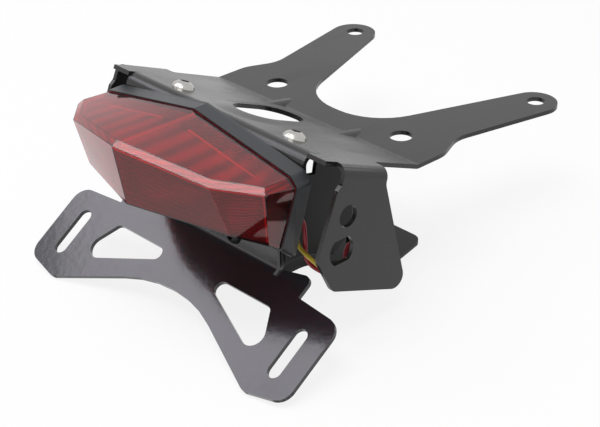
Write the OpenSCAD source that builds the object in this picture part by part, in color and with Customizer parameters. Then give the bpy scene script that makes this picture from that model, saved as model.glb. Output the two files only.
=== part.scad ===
// Tail tidy for a motorcycle: a folded main bracket with two forward arms and two side ears,
// a folded bracket that carries an LED tail light, and a folded number plate bracket,
// with the fasteners, the inside of the light and its wires.
// Millimetres. X is right, Y is forward, Z is up. The origin is midway between the two
// large holes, on the top face of the front plate.

/* [Main bracket] */
// Thickness of the steel sheet of the main bracket and the number plate bracket
sheet_t = 2; // [1.6:0.1:2.4]
// Inside radius of the main bracket's bends
bend_r = 3; // [2.6:0.1:3.4]
// Distance between the two large holes
rear_hole_spacing = 80; // [74:1:86]
// Diameter of each large hole
rear_hole_d = 10.5; // [6.5:0.5:12]
// Distance between the two arm holes
arm_hole_spacing = 116.4; // [112:0.2:122]
// Forward distance from the large holes to the arm holes
arm_hole_reach = 69.8; // [62:0.2:78]
// Diameter of each arm hole
arm_hole_d = 8.5; // [5:0.5:10]
// Radius of the round end of each arm
arm_end_r = 10.8; // [9:0.2:12]
// Half width of the front plate at the crease
plate_half_w = 64.5; // [63.5:0.1:65.5]
// Half width of the outer edge at the waist of the arms
waist_half_w = 58; // [56:0.2:60]
// Half width of the flat floor of the mouth between the arms, before its corners are rounded
mouth_half_w = 21.6; // [20:0.2:24]
// Radius of the corners of the mouth between the arms
mouth_r = 28; // [20:1:30]
// Distance from the large holes back to the crease
crease_back = 15; // [13:0.5:18]
// Upward tilt of the tray behind the crease
tray_angle = 22; // [20:0.5:24]
// Distance from the crease back to the rear face of the lip
lip_back = 60.4; // [59:0.2:63]
// Half width of the lip
lip_half_w = 57; // [50:0.5:57.5]
// Height of the flat part of the lip
lip_h = 13.5; // [10:0.5:14]
// Width of the long hole in the tray
tray_hole_w = 24; // [20:0.5:28]
// Width over the pressed rim around the tray's long hole
tray_rim_w = 40; // [36:0.5:42]
// Straight part of the long hole's sides
tray_hole_straight = 11; // [6:0.5:13]
// Height of the pressed rim
tray_rim_h = 1; // [0.4:0.1:1.8]
// Distance from the crease to the middle of the long hole, along the tray
tray_hole_u = 29.5; // [28:0.5:30.5]
// Half length of each pressed stiffener across the crease
dart_half_l = 7.5; // [6:0.5:9]
// Sideways distance between the two pressed stiffeners
dart_spacing = 45.4; // [40:0.2:50]

/* [Ears] */
// Half width over the outer faces of the ears
ear_half_w = 74; // [73:0.2:76]
// Depth of the ears below the tray
ear_depth = 53.8; // [50:0.2:58]
// Diameter of the round hole in each ear
ear_hole_d = 9.8; // [6:0.2:11]
// Diameter of the two-flat hole in each ear
flat_hole_d = 13.5; // [11:0.5:15]
// Distance across the flats of the two-flat hole
flat_hole_af = 11; // [8:0.5:13]

/* [Light bracket] */
// Thickness of the light bracket's steel sheet
inner_t = 2; // [1.5:0.1:2.2]
// Half width of the light bracket's web
web_half_w = 41; // [39:0.5:44]
// Height of the studs above the top face of the shelf
shelf_drop = 47; // [44:0.5:50]
// Forward reach of the shelf from the lip's rear face
shelf_reach = 83.4; // [76:0.2:90]
// Half width of the shelf at its widest
shelf_half_w = 52; // [48:0.5:56]

/* [Number plate bracket] */
// Angle of the number plate bracket below the horizontal
plate_angle = 34.9; // [30:0.1:40]
// Half width of the number plate bracket
plate_bracket_half_w = 86.2; // [84:0.2:92]
// Half width of its stem
stem_half_w = 40.5; // [39:0.5:41]
// Half width over its flat shoulders, beside the bend
shoulder_half_w = 59.3; // [54:0.2:62]
// Height of the stem above its bend
stem_h = 23.4; // [21:0.2:25]
// Width of the number plate slots
slot_w = 7; // [5:0.5:8]
// Length of the number plate slots from end to end
slot_l = 24.4; // [18:0.2:27]
// Distance between the two slots
slot_spacing = 144.6; // [140:0.2:150]

/* [Tail light] */
// Depth of the light's black housing
housing_depth = 8.3; // [8:0.1:10]
// Depth of the red lens in front of the housing
lens_depth = 43.9; // [38:0.5:48]
// Thickness of the housing's and the lens's walls
wall_t = 2; // [1.6:0.1:2.2]
// Distance between the light's two studs
stud_spacing = 56; // [50:1:62]
// Diameter of the light's studs
stud_d = 5; // [4:0.5:6]
// Number of LEDs in each of the two rows
leds_per_row = 7; // [5:1:8]
// Diameter of an LED
led_d = 5; // [3:0.5:5]

/* [Fasteners] */
// Distance between the two tray screws
tray_screw_spacing = 71.6; // [66:0.2:76]
// Distance of the tray screws from the crease, along the tray
tray_screw_u = 48.6; // [47.6:0.2:49]
// Thread diameter of the tray screws
tray_screw_d = 6; // [5:0.5:6]
// Distance between the two stem screws
stem_screw_spacing = 26; // [20:1:40]
// Thread diameter of the stem screws
stem_screw_d = 5; // [4:0.5:5]

/* [Wiring] */
// Diameter of each wire
wire_d = 2; // [1.6:0.2:2.4]
// Width of the wire connector
connector_w = 14; // [12:0.5:16]
// Length of the wire connector
connector_l = 16; // [14:0.5:18]
// Height of the wire connector
connector_h = 10; // [8:0.5:11]

/* [Hidden] */

black_coat = [0.10, 0.10, 0.10];
gloss_coat = [0.05, 0.05, 0.06];
black_plastic = [0.13, 0.14, 0.15];
steel = [0.78, 0.77, 0.74];
zinc = [0.66, 0.67, 0.68];
lens_red = [0.62, 0.03, 0.05, 0.6];
board_green = [0.05, 0.28, 0.14];
led_clear = [0.85, 0.35, 0.30];
bright_metal = [0.85, 0.85, 0.86];
soft_black = [0.06, 0.06, 0.06];
wire_yellow_c = [0.72, 0.60, 0.05];
wire_red_c = [0.45, 0.02, 0.06];
brass = [0.80, 0.62, 0.28];

round_fn = 64;      // segments of drawn circles
arc_step = 9;       // largest angle between points of a rounded corner or bend
over = 1;           // how far a cut runs past the face it opens
far = 200;          // longer than the whole part

// The tray runs back and up from the crease; u is the distance along it.
lip_r = bend_r + sheet_t;
lip_bend_w = lip_back - lip_r;
lip_bend_z = (lip_bend_w * sin(tray_angle) - lip_r) / cos(tray_angle);
lip_bend_u = lip_bend_w * cos(tray_angle) + lip_bend_z * sin(tray_angle);
lip_bottom_z = lip_bend_z - lip_h;

// The light stands on the lip, with its studs below the lip.
stud_z = lip_bottom_z - 8.5;
boss_r = 5.4;
stud_hole_d = stud_d + 0.5;

// The light bracket lies under the tray and in front of the lip.
inner_bend_r = bend_r - inner_t + 0.4;
web_w = lip_back - sheet_t;
flange_front_u = 40;
flange_cut_u = tray_hole_u + (tray_hole_w + tray_hole_straight) / 2 + 4;
shelf_top_z = stud_z - shelf_drop;
shelf_neck = 25;    // half width of the shelf's neck, next to the web
shelf_neck_y = -28; // where the neck ends, in front of the crease
shelf_wide_y = -1;  // where the shelf is widest
tab_half_w = 10;

// The number plate bracket's stem lies against the web, behind it.
stem_bend_r = 1.5;
stem_top_z = stud_z - boss_r - 2.6;
stem_bend_z = stem_top_z - stem_h;
plate_run = 29.6;   // distance from the bend down the plate to the middle of the slots
plate_rise = 23;    // distance from the middle of the slots to the plate's lower edge

// The light's outline, seen from behind, with heights above the studs.
apex_z = 32.8;
shoulder_x = 59;
shoulder_z = 22.4;
side_x = 62.9;
side_z = 18.2;
foot_x = 52.6;
front_foot_z = -15.2;
back_foot_z = -20.6;
rim_inset = 0.9;

// Fastener sizes
screw_clear = 0.4;  // how much wider a hole is than its screw
washer_t = 1.2;
nut_h = 5;
head_h = 0.55;      // height of a button head over its thread diameter
head_d = 1.75;      // width of a button head over its thread diameter
nut_d = 1.92;       // width of a nut over its corners, over its thread diameter
washer_d = 2;       // width of a washer over its thread diameter
thread_end = 1.5;   // how far a thread sticks out of its nut
stem_screw_gap = 0.4; // between the stem's bend and the stem screws' heads
stem_screw_z = stem_bend_z + stem_bend_r * tan((90 - plate_angle) / 2)
    + stem_screw_d * head_d / 2 + stem_screw_gap;

// Places of the wires' gland, beside and below the studs, and of the connector,
// which lies on the shelf
gland_x = 46;
gland_z = -6.5;
wire_gap = 2.6;     // between the middles of the two wires in the gland
connector_x = 36;
connector_y = 0;
cavity_gap = 5;     // between the middles of the connector's two cavities

// Routes of the two wires behind the crease, as chosen points: out of the gland, down, to the
// right, forward inside the right ear, down over the shelf, and into the connector
yellow_route = [
    [44.7, -64, -11.5], [44.7, -60, -11.5], [44.7, -56.4, -11.6], [44.8, -54.3, -13.2], [45, -53.7, -16.6],
    [45.2, -53.6, -20.6], [46, -53.6, -24.2], [48, -53.6, -26.6], [51, -53.6, -28],
    [55, -53.5, -29.4], [59, -53.2, -30.8],
    [62.6, -52.2, -32.4], [65.8, -50, -34.4], [68, -46.6, -36.6], [69, -42.4, -39], [68.8, -38, -41.4],
    [67.6, -33.6, -43.8], [65.4, -29.6, -46], [62.2, -26.2, -48], [58.4, -23.4, -49.6], [54.2, -21.2, -50.6],
    [50, -19.6, -50.9], [45.6, -18.4, -50.8], [42, -16.6, -50], [39.8, -13.8, -48.4], [38.6, -11, -47.2],
    [38.5, -8.9, -47], [38.5, -3, -47]];
red_route = [
    [47.3, -64, -11.5], [47.3, -60, -11.5], [47.3, -56, -11.5], [47.4, -53.2, -12.4], [47.6, -51.6, -15],
    [47.8, -51.1, -19], [48, -51, -23], [48, -51, -27], [48.2, -51, -30.4], [49.6, -51, -33.1],
    [52.8, -51, -34.4], [56.8, -50.8, -34.8], [60.2, -49.8, -35.8], [63.2, -47.6, -37.4],
    [65.2, -44.4, -39.4], [66.2, -40.6, -41.4],
    [66, -36.6, -43.4], [64.6, -32.8, -45.4], [62.2, -29.6, -47.2], [58.8, -27, -48.8], [54.8, -25, -50],
    [50.4, -23.4, -50.7], [46, -22, -50.9], [41.8, -20.2, -50.8], [38.2, -17.8, -50.1], [35.4, -14.8, -48.8],
    [33.8, -11.4, -47.3], [33.5, -8.9, -47], [33.5, -3, -47]];

function heading(a) = [cos(a), sin(a)];
function right_of(a) = [sin(a), -cos(a)];
function unit(v) = v / norm(v);

// Pairs of points, one on each face of a folded sheet. Each step is a straight run,
// a turn in degrees, to the left when positive, and the bend's inside radius.
function fold_pairs(steps, t, pos, dir, i = 0) =
    i == len(steps) ? [] :
    let (run = steps[i][0], turn = steps[i][1], r_in = steps[i][2],
         side = turn < 0 ? -1 : 1,
         r_face = turn < 0 ? r_in + t : r_in,
         bend_start = pos + run * heading(dir),
         centre = bend_start - side * r_face * right_of(dir),
         n = ceil(abs(turn) / arc_step),
         bend = turn == 0 ? [[bend_start, dir]] :
             [for (k = [0:n]) let (a = dir + turn * k / n) [centre + side * r_face * right_of(a), a]])
    concat(i == 0 ? [[pos, pos + t * right_of(dir)]] : [],
           [for (b = bend) [b[0], b[0] + t * right_of(b[1])]],
           fold_pairs(steps, t, bend[len(bend) - 1][0], dir + turn, i + 1));

function fold_outline(pairs) =
    concat([for (p = pairs) p[0]], [for (i = [len(pairs) - 1:-1:0]) pairs[i][1]]);

// Points of an arc from one angle to another
function arc_points(centre, r, from, to) =
    let (n = ceil(abs(to - from) / arc_step))
    [for (k = [0:n]) centre + r * heading(from + (to - from) * k / n)];

// The arc of radius r that rounds corner b between a and c
function corner(a, b, c, r) =
    let (u = unit(a - b), v = unit(c - b),
         half = acos(u * v) / 2,
         centre = b + unit(u + v) * r / sin(half),
         p = b + u * r / tan(half) - centre,
         q = b + v * r / tan(half) - centre,
         from = atan2(p.y, p.x),
         turn = atan2(p.x * q.y - p.y * q.x, p * q))
    arc_points(centre, r, from, from + turn);

// An outline from corners given as [x, y, radius]
function rounded(pts) =
    let (n = len(pts))
    [for (i = [0:n - 1])
        let (a = pts[(i + n - 1) % n], b = pts[i], c = pts[(i + 1) % n])
        each (b[2] > 0 ? corner([a.x, a.y], [b.x, b.y], [c.x, c.y], b[2]) : [[b.x, b.y]])];

// The right half of an outline and its mirror image
function both_sides(half) =
    concat(half, [for (i = [len(half) - 1:-1:0]) if (half[i].x > 0) [-half[i].x, half[i].y, half[i][2]]]);

function sharp(pts) = [for (p = pts) [p.x, p.y, 0]];

// Angle at which the line from p touches the circle round c
function touch_angle(p, c, r, side) =
    let (d = p - c) atan2(d.y, d.x) + side * acos(r / norm(d));

module crease_frame() translate([0, -crease_back, 0]) children();
module tray_frame() crease_frame() rotate([-tray_angle, 0, 0]) children();
module light_frame() crease_frame() translate([0, -lip_back, stud_z]) children();
module stem_frame() crease_frame() translate([0, -lip_back, stem_bend_z]) children();
module plate_frame() stem_frame() rotate([plate_angle, 0, 0]) children();

// A profile drawn with its first axis pointing back and its second up, drawn out along X
module across(width) rotate([90, 0, -90]) linear_extrude(width, center = true) children();
// An outline in X and Z, drawn out along Y and centred on it
module along_y(length) rotate([90, 0, 0]) linear_extrude(length, center = true) children();
// An outline in Y and Z, drawn out along X from the given place
module along_x(from, length) translate([from, 0, 0]) rotate([90, 0, 90]) linear_extrude(length) children();

module pair(spacing) for (side = [-1, 1]) translate([side * spacing / 2, 0, 0]) children();
module both_ends() { children(); mirror([1, 0, 0]) children(); }

// Main bracket

tip = [arm_hole_spacing / 2, arm_hole_reach + crease_back - 1.3];
mouth_corner = [mouth_half_w, crease_back - 0.7];
waist = [waist_half_w, crease_back + 16.5];
ear_bend_x = ear_half_w - lip_r;
ear_front_u = 29.2;     // front edge of the ears, along the tray
ear_rear_u = 57.4;      // rear edge of the ears
ear_bend_rear_u = 55.8; // rear end of the bend between tray and ear
tab_rear_u = 62.4;      // rear edge of the flat tab beside the lip

function front_half() = concat(
    [[mouth_corner.x, mouth_corner.y, min(mouth_r, mouth_half_w * 1.34)]],
    sharp(arc_points(tip, arm_end_r, touch_angle(mouth_corner, tip, arm_end_r, -1) + 360,
                     touch_angle(waist, tip, arm_end_r, 1))),
    [[waist.x, waist.y, 16], [plate_half_w, crease_back + 1.6, 16],
     [plate_half_w, -ear_front_u * cos(tray_angle), 1.8],
     [ear_bend_x - 0.4, -ear_front_u * cos(tray_angle), 0],
     [ear_bend_x - 0.4, -(ear_bend_rear_u - 1) * cos(tray_angle), 0],
     [lip_half_w, -(ear_bend_rear_u - 1) * cos(tray_angle), 0],
     [lip_half_w, -lip_back - over, 0]]);

main_steps = [
    [far / 2 - bend_r * tan(tray_angle / 2), tray_angle, bend_r],
    [lip_bend_u - bend_r * tan(tray_angle / 2), -90 - tray_angle, bend_r],
    [lip_h, 0, 0]];

module main_sheet() crease_frame() intersection() {
    across(far) polygon(fold_outline(fold_pairs(main_steps, sheet_t, [-far / 2, 0], 0)));
    translate([0, 0, -far / 2]) linear_extrude(far) polygon(rounded(both_sides(front_half())));
}

// Rounds the lower corners of the lip
module lip_corner_cut() crease_frame() translate([0, -lip_back, lip_bottom_z]) difference() {
    translate([-lip_half_w - over, -over, -over])
        cube([2 * (lip_half_w + over), lip_r + over, lip_h + over]);
    along_y(far) polygon(rounded(both_sides([[lip_half_w, 0, 5], [lip_half_w, far, 0]])));
}

ear_steps = [
    [ear_bend_x - lip_half_w - 0.4, -90, bend_r],
    [far / 2, 0, 0]];

ear_bend_start = lip_half_w + 0.4;
flat_hole_u = 45;
flat_hole_n = -35.9;

// Outline of an ear seen from its side, in the tray's frame
function ear_outline() = rounded([
    [-ear_front_u, over, 0], [-ear_front_u, -6.4, 5], [3.8, -ear_depth + 1, 5.2],
    [-43.5, -ear_depth, 5], [-ear_rear_u, -ear_depth + 12.6, 4], [-ear_rear_u, -11, 1.5],
    [-ear_bend_rear_u, -8, 1.5], [-ear_bend_rear_u, -sheet_t - 0.1, 0],
    [-tab_rear_u, -sheet_t - 0.1, 0], [-tab_rear_u, over, 0]]);

module ear() tray_frame() difference() {
    intersection() {
        rotate([90, 0, 0]) linear_extrude(far, center = true)
            polygon(fold_outline(fold_pairs(ear_steps, sheet_t, [ear_bend_start, 0], 0)));
        along_x(lip_half_w, far / 2) polygon(ear_outline());
    }
    // the tab's outer corner, behind the ear
    translate([ear_bend_x - 1, -tab_rear_u - over, -sheet_t - over])
        cube([far / 2, tab_rear_u - ear_bend_rear_u + over, far / 2]);
    // round hole
    translate([ear_half_w, -47, -20.8]) rotate([0, 90, 0])
        cylinder(h = far / 4, d = ear_hole_d, center = true, $fn = round_fn);
    // hole with two flats, which lie level with the front plate
    translate([ear_half_w, -flat_hole_u, flat_hole_n]) rotate([tray_angle, 0, 0]) intersection() {
        rotate([0, 90, 0]) cylinder(h = far / 4, d = flat_hole_d, center = true, $fn = round_fn);
        cube([far, far, flat_hole_af], center = true);
    }
}

// The pressed rim round the long hole: two half rings and the two straight sides between them
tray_hole_r = tray_hole_w / 2;
tray_rim_r = tray_rim_w / 2;
rim_profile = [
    [tray_rim_r + 1, -sheet_t], [tray_rim_r + 1, 0], [tray_rim_r, 0], [tray_rim_r - 2, tray_rim_h * 0.2],
    [tray_hole_r + 1.5, tray_rim_h * 0.9], [tray_hole_r, tray_rim_h], [tray_hole_r, tray_rim_h - sheet_t],
    [tray_hole_r + 1.5, tray_rim_h * 0.9 - sheet_t], [tray_rim_r - 2, tray_rim_h * 0.2 - sheet_t],
    [tray_rim_r, -sheet_t]];
module tray_rim() tray_frame() translate([0, -tray_hole_u, 0]) for (turn = [0, 180]) rotate([0, 0, turn]) {
    translate([0, tray_hole_straight / 2, 0]) rotate_extrude(angle = 180, $fn = 2 * round_fn)
        polygon(rim_profile);
    rotate([90, 0, 0]) linear_extrude(tray_hole_straight, center = true) polygon(rim_profile);
}

// The place of the rim in the flat sheet
module tray_rim_cut() tray_frame() translate([0, -tray_hole_u, -over - sheet_t]) {
    for (end = [-1, 1]) translate([0, end * tray_hole_straight / 2, 0])
        cylinder(h = sheet_t + 2 * over, r = tray_rim_r, $fn = 2 * round_fn);
    translate([-tray_rim_r, -tray_hole_straight / 2, 0])
        cube([tray_rim_w, tray_hole_straight, sheet_t + 2 * over]);
}

// A pressed stiffener bridges the crease; its ridge runs between points on the two faces
dart_r = 6.2;
dart_top = dart_half_l * tan(tray_angle / 2);
module dart(r, extra) crease_frame() pair(dart_spacing)
    rotate([-tray_angle / 2, 0, 0]) translate([0, 0, dart_top * cos(tray_angle / 2) - dart_r])
        rotate([90, 0, 0]) cylinder(h = 2 * dart_half_l + extra, r = r, center = true, $fn = round_fn);

// The space above the sheet's middle, where the stiffeners stand
module above_sheet() crease_frame() across(far)
    polygon([[-far / 4, -sheet_t / 2], [0, -sheet_t / 2], [far / 4, far / 4 * tan(tray_angle) - sheet_t / 2],
             [far / 4, far / 2], [-far / 4, far / 2]]);

module main_bracket() color(black_coat) difference() {
    union() {
        difference() {
            main_sheet();
            tray_rim_cut();
        }
        tray_rim();
        both_ends() ear();
        intersection() { dart(dart_r, 0); above_sheet(); }
    }
    lip_corner_cut();
    pair(rear_hole_spacing) cylinder(h = far / 4, d = rear_hole_d, center = true, $fn = round_fn);
    translate([0, arm_hole_reach, 0]) pair(arm_hole_spacing)
        cylinder(h = far / 4, d = arm_hole_d, center = true, $fn = round_fn);
    tray_frame() translate([0, -tray_screw_u, 0]) pair(tray_screw_spacing)
        cylinder(h = far / 10, d = tray_screw_d + screw_clear, center = true, $fn = round_fn);
}

// Light bracket

inner_r = inner_bend_r + inner_t;
inner_bend_w = web_w - inner_r;
inner_bend_z = (inner_bend_w * sin(tray_angle) - inner_r - sheet_t) / cos(tray_angle);
inner_bend_u = inner_bend_w * cos(tray_angle) + inner_bend_z * sin(tray_angle);
shelf_bottom_z = shelf_top_z - inner_t;

inner_steps = [
    [inner_bend_u - flange_front_u, -90 - tray_angle, inner_bend_r],
    [inner_bend_z - shelf_bottom_z - inner_r, -90, inner_bend_r],
    [shelf_reach - sheet_t - inner_r, 0, 0]];
inner_start = flange_front_u * heading(tray_angle) + sheet_t * right_of(tray_angle);

// Half outline of the shelf, with distances forward of the crease
function shelf_half() = [
    [shelf_neck, -lip_back, 0], [shelf_neck, shelf_neck_y, 12], [shelf_half_w, shelf_wide_y, 8],
    [shelf_half_w - 5.5, shelf_reach - lip_back, 6]];

module light_bracket() color(black_coat) difference() {
    crease_frame() across(2 * shelf_half_w + 2)
        polygon(fold_outline(fold_pairs(inner_steps, inner_t, inner_start, tray_angle)));
    // outline of the shelf
    crease_frame() translate([0, 0, shelf_bottom_z]) difference() {
        translate([-far / 2, -web_w + inner_r, -over]) cube([far, far, inner_r + over]);
        translate([0, 0, -far / 4]) linear_extrude(far / 2) polygon(rounded(both_sides(shelf_half())));
    }
    // outline of the web
    crease_frame() translate([0, -web_w, 0]) difference() {
        translate([-far / 2, -over, shelf_bottom_z - over])
            cube([far, inner_r + over, inner_bend_z - shelf_bottom_z + inner_r]);
        along_y(far) polygon(rounded(both_sides([
            [shelf_neck, shelf_bottom_z - 2 * over, 0], [shelf_neck, shelf_top_z + 5, 6],
            [web_half_w, shelf_top_z + 14, 6], [web_half_w, inner_bend_z + far / 4, 0]])));
    }
    // two tabs under the tray, clear of the pressed rim
    tray_frame() difference() {
        translate([-far / 2, -inner_bend_u - inner_r, -sheet_t - inner_t - over])
            cube([far, far / 2, inner_t + 2 * over]);
        for (side = [-1, 1]) translate([side * tray_screw_spacing / 2, 0, -far / 4]) linear_extrude(far / 2)
            polygon(rounded([[-tab_half_w, -flange_front_u, 4], [-tab_half_w, -flange_cut_u, 1],
                             [-tab_half_w - 2, -inner_bend_u - far / 4, 0],
                             [tab_half_w, -inner_bend_u - far / 4, 0],
                             [tab_half_w, -flange_front_u, 4]]));
    }
    tray_frame() translate([0, -tray_screw_u, 0]) pair(tray_screw_spacing)
        cylinder(h = far / 10, d = tray_screw_d + screw_clear, center = true, $fn = round_fn);
    light_frame() pair(stud_spacing) rotate([90, 0, 0])
        cylinder(h = far / 10, d = stud_hole_d, center = true, $fn = round_fn);
    crease_frame() translate([0, -lip_back, stem_screw_z]) pair(stem_screw_spacing) rotate([90, 0, 0])
        cylinder(h = far / 10, d = stem_screw_d + screw_clear, center = true, $fn = round_fn);
}

// Number plate bracket

plate_steps = [
    [stem_h - stem_bend_r * tan((90 - plate_angle) / 2), 90 - plate_angle, stem_bend_r],
    [far / 2, 0, 0]];

// Half outline of the plate, with distances up the slope from the middle of the slots
function plate_half() = [
    [15.6, -0.5, 66], [65.1, -plate_rise + 0.1, 7], [plate_bracket_half_w, -18.4, 7.5],
    [plate_bracket_half_w, 20.7, 7.5], [shoulder_half_w, 22.8, 0], [shoulder_half_w, relief_v, 0],
    [stem_half_w, relief_v, 0], [stem_half_w, far / 2, 0]];

// The flat right shoulder, with a relief notch between it and the stem's bend
relief_v = 26.5;    // foot of the notch, up the slope from the middle of the slots
relief_w = 2.8;
function shoulder() = rounded([
    [stem_half_w + relief_w, relief_v - over, 0], [shoulder_half_w, relief_v - over, 0],
    [shoulder_half_w, 33.6, 3.5], [stem_half_w + relief_w, 30.2, 2]]);

// A triangular cut-out of the right half
function window() = rounded([[5.2, 13.5, 3.4], [64.6, -11.7, 5.8], [50.6, 13.5, 3.4]]);

module folded_plate() intersection() {
    crease_frame() across(far)
        polygon(fold_outline(fold_pairs(plate_steps, sheet_t, [lip_back, stem_top_z], -90)));
    plate_frame() translate([0, -plate_run, -far / 2]) linear_extrude(far)
        polygon(rounded(both_sides(plate_half())));
    crease_frame() translate([0, -lip_back, stem_top_z]) along_y(far) polygon(rounded(both_sides([
        [far / 2, -far / 2, 0], [far / 2, -stem_h + 3, 0], [stem_half_w + 2, -stem_h + 3, 0],
        [stem_half_w + 0.01, 0, 5]])));
}

module plate_bracket() color(gloss_coat) difference() {
    union() {
        folded_plate();
        plate_frame() translate([0, -plate_run, -sheet_t]) linear_extrude(sheet_t)
            both_ends() polygon(shoulder());
    }
    plate_frame() translate([0, -plate_run, -sheet_t - over]) {
        linear_extrude(sheet_t + 2 * over) both_ends() polygon(window());
        pair(slot_spacing) {
            for (end = [-1, 1]) translate([0, end * (slot_l - slot_w) / 2, 0])
                cylinder(h = sheet_t + 2 * over, d = slot_w, $fn = round_fn);
            translate([-slot_w / 2, -(slot_l - slot_w) / 2, 0])
                cube([slot_w, slot_l - slot_w, sheet_t + 2 * over]);
        }
    }
    crease_frame() translate([0, -lip_back, stem_screw_z]) pair(stem_screw_spacing) rotate([90, 0, 0])
        cylinder(h = far / 10, d = stem_screw_d + screw_clear, center = true, $fn = round_fn);
}

// Tail light, in its own frame: the back face is at y 0 and the lens points to -y

// Half outline of the light, drawn in or out by inset, with the given foot height
function light_half(inset, foot_z, r) = [
    [0, apex_z - inset, 0], [shoulder_x - inset * 0.6, shoulder_z - inset, r],
    [side_x - inset, side_z - inset * 0.4, r], [foot_x - inset, foot_z + inset, r],
    [0, foot_z + inset - 0.4, 0]];
function light_outline(inset, foot_z, r) = rounded(both_sides(light_half(inset, foot_z, r)));

module slab(y, t, inset, foot_z, r) translate([0, -y - t / 2, 0])
    along_y(t) polygon(light_outline(inset, foot_z, r));

rim_depth = 2.6;    // how far the lens is let into the housing
seal_t = 0.8;
seat_gap = 0.1;     // gap round the lens in its seat
seat_r = 2.4;       // corner radius of the seat
ledge_w = 1.4;      // width of the ledge that the seal lies on, past the wall
board_t = 1.6;
board_y = wall_t + 0.4;

module light_housing() color(black_plastic) light_frame() difference() {
    union() {
        hull() {
            slab(0, 0.6, 0.8, back_foot_z, 2.2);
            slab(0.6, 1.4, 0, back_foot_z, 3);
            slab(housing_depth - 1, 1, 0.1, front_foot_z, 3);
        }
        // bosses that reach the bracket's web beside the lip
        pair(stud_spacing) rotate([-90, 0, 0]) cylinder(h = sheet_t, r = boss_r, $fn = round_fn);
    }
    // seat of the lens and its seal
    slab(housing_depth - rim_depth - seal_t, rim_depth + seal_t + over, rim_inset - seat_gap,
         front_foot_z, seat_r);
    // hollow for the board
    difference() {
        slab(wall_t, housing_depth, wall_t + ledge_w, front_foot_z, 2);
        pair(stud_spacing) translate([0, -wall_t - 3, 0]) rotate([-90, 0, 0])
            cylinder(h = 3 + over, r = boss_r - 0.4, $fn = round_fn);
    }
    pair(stud_spacing) rotate([90, 0, 0]) {
        cylinder(h = far / 10, d = stud_d + 0.1, center = true, $fn = round_fn);
        translate([0, 0, wall_t + 1]) cylinder(h = far / 10, d = stud_d + 3.2, $fn = round_fn);
    }
    // hole for the wires' gland
    translate([gland_x, 0, gland_z]) rotate([90, 0, 0])
        cylinder(h = far / 10, d = 3.4 * wire_d, center = true, $fn = round_fn);
}

lens_front = housing_depth + lens_depth;

// Corner points of the lens, [x, distance behind the light's back face, height], right half
function lens_half() = [
    [0, lens_front - 3.1, apex_z - 0.6], [0, lens_front, apex_z - 2.4],
    [0, lens_front - 5.6, 1.7],
    [42.6, lens_front - 15.9, 25.2], [44.2, lens_front - 13.3, 22.8], [46, lens_front - 21.4, -1.5],
    [58.6, lens_front - 29.9, 22.3], [60.8, lens_front - 28.2, 19.9], [52.6, lens_front - 37, -9.5]];
function lens_rim(inset) = [
    [0, housing_depth, apex_z - inset], [shoulder_x - inset * 0.6, housing_depth, shoulder_z - inset],
    [side_x - inset, housing_depth, side_z - inset * 0.4],
    [foot_x - inset, housing_depth, front_foot_z + inset],
    [0, housing_depth, front_foot_z + inset - 0.4]];

// Faces of the lens's right half: facets round the nose, the flat back, and the middle,
// where the two halves meet
lens_faces = [
    [9, 0, 3], [9, 3, 10], [10, 3, 6], [0, 1, 4], [0, 4, 3], [3, 4, 7], [3, 7, 6],
    [1, 2, 5], [1, 5, 4], [4, 5, 8], [4, 8, 7], [10, 6, 7], [10, 7, 11], [11, 7, 8], [11, 8, 12],
    [2, 13, 5], [5, 13, 12], [5, 12, 8], [9, 10, 13], [10, 11, 13], [11, 12, 13],
    [9, 13, 2, 1, 0]];

// A point of the lens moved in by the wall
lens_mid_z = 8;     // height of the point that the lens's faces are drawn in to
function lens_in(p, k) = [
    p.x * (1 - k / side_x),
    housing_depth + (p.y - housing_depth) * (1 - k / lens_depth),
    lens_mid_z + (p.z - lens_mid_z) * (1 - k * 1.15 / (apex_z - lens_mid_z))];
module lens_solid(k) for (side = [0, 1]) mirror([side, 0, 0]) polyhedron(
    points = [for (p = concat(lens_half(), lens_rim(rim_inset))) let (q = lens_in(p, k)) [q.x, -q.y, q.z]],
    faces = lens_faces);

module light_lens() color(lens_red) light_frame() difference() {
    union() {
        hull() lens_solid(0);
        slab(housing_depth - rim_depth, rim_depth + 0.01, rim_inset, front_foot_z, seat_r);
    }
    hull() lens_solid(wall_t);
    slab(housing_depth - rim_depth - over, rim_depth + 1.5 * over, rim_inset + wall_t, front_foot_z, 1);
}

module light_seal() color(soft_black) light_frame() difference() {
    slab(housing_depth - rim_depth - seal_t, seal_t, rim_inset + seat_gap, front_foot_z, seat_r);
    slab(housing_depth - rim_depth - seal_t - over, seal_t + 2 * over, wall_t + ledge_w, front_foot_z, 1);
}

board_half_w = 46;
board_top = 20;
board_bottom = -10;
module board_outline() polygon(rounded(both_sides([
    [board_half_w, board_bottom, 3], [board_half_w + 6, board_top, 3]])));

led_rows = [9, 16];
led_pitch = 2 * (board_half_w - 6) / (leds_per_row - 1);
module led_places() for (row = led_rows, i = [0:leds_per_row - 1])
    translate([(i - (leds_per_row - 1) / 2) * led_pitch, 0, row]) children();

module light_board() color(board_green) light_frame() difference() {
    translate([0, -board_y - board_t / 2, 0]) along_y(board_t) board_outline();
    pair(stud_spacing) rotate([90, 0, 0])
        cylinder(h = far / 10, d = 2 * boss_r, center = true, $fn = round_fn);
    translate([gland_x, 0, gland_z]) rotate([90, 0, 0])
        cylinder(h = far / 10, d = 6 * wire_d, center = true, $fn = round_fn);
}

led_h = 7;
module light_leds() color(led_clear) light_frame() translate([0, -board_y - board_t, 0]) led_places()
    rotate([90, 0, 0]) rotate_extrude($fn = 32)
        polygon(concat([[0, 0], [led_d / 2 + 0.4, 0], [led_d / 2 + 0.4, 1], [led_d / 2, 1]],
                       [for (a = [0:15:90]) [led_d / 2 * cos(a), led_h - led_d / 2 + led_d / 2 * sin(a)]]));

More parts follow.
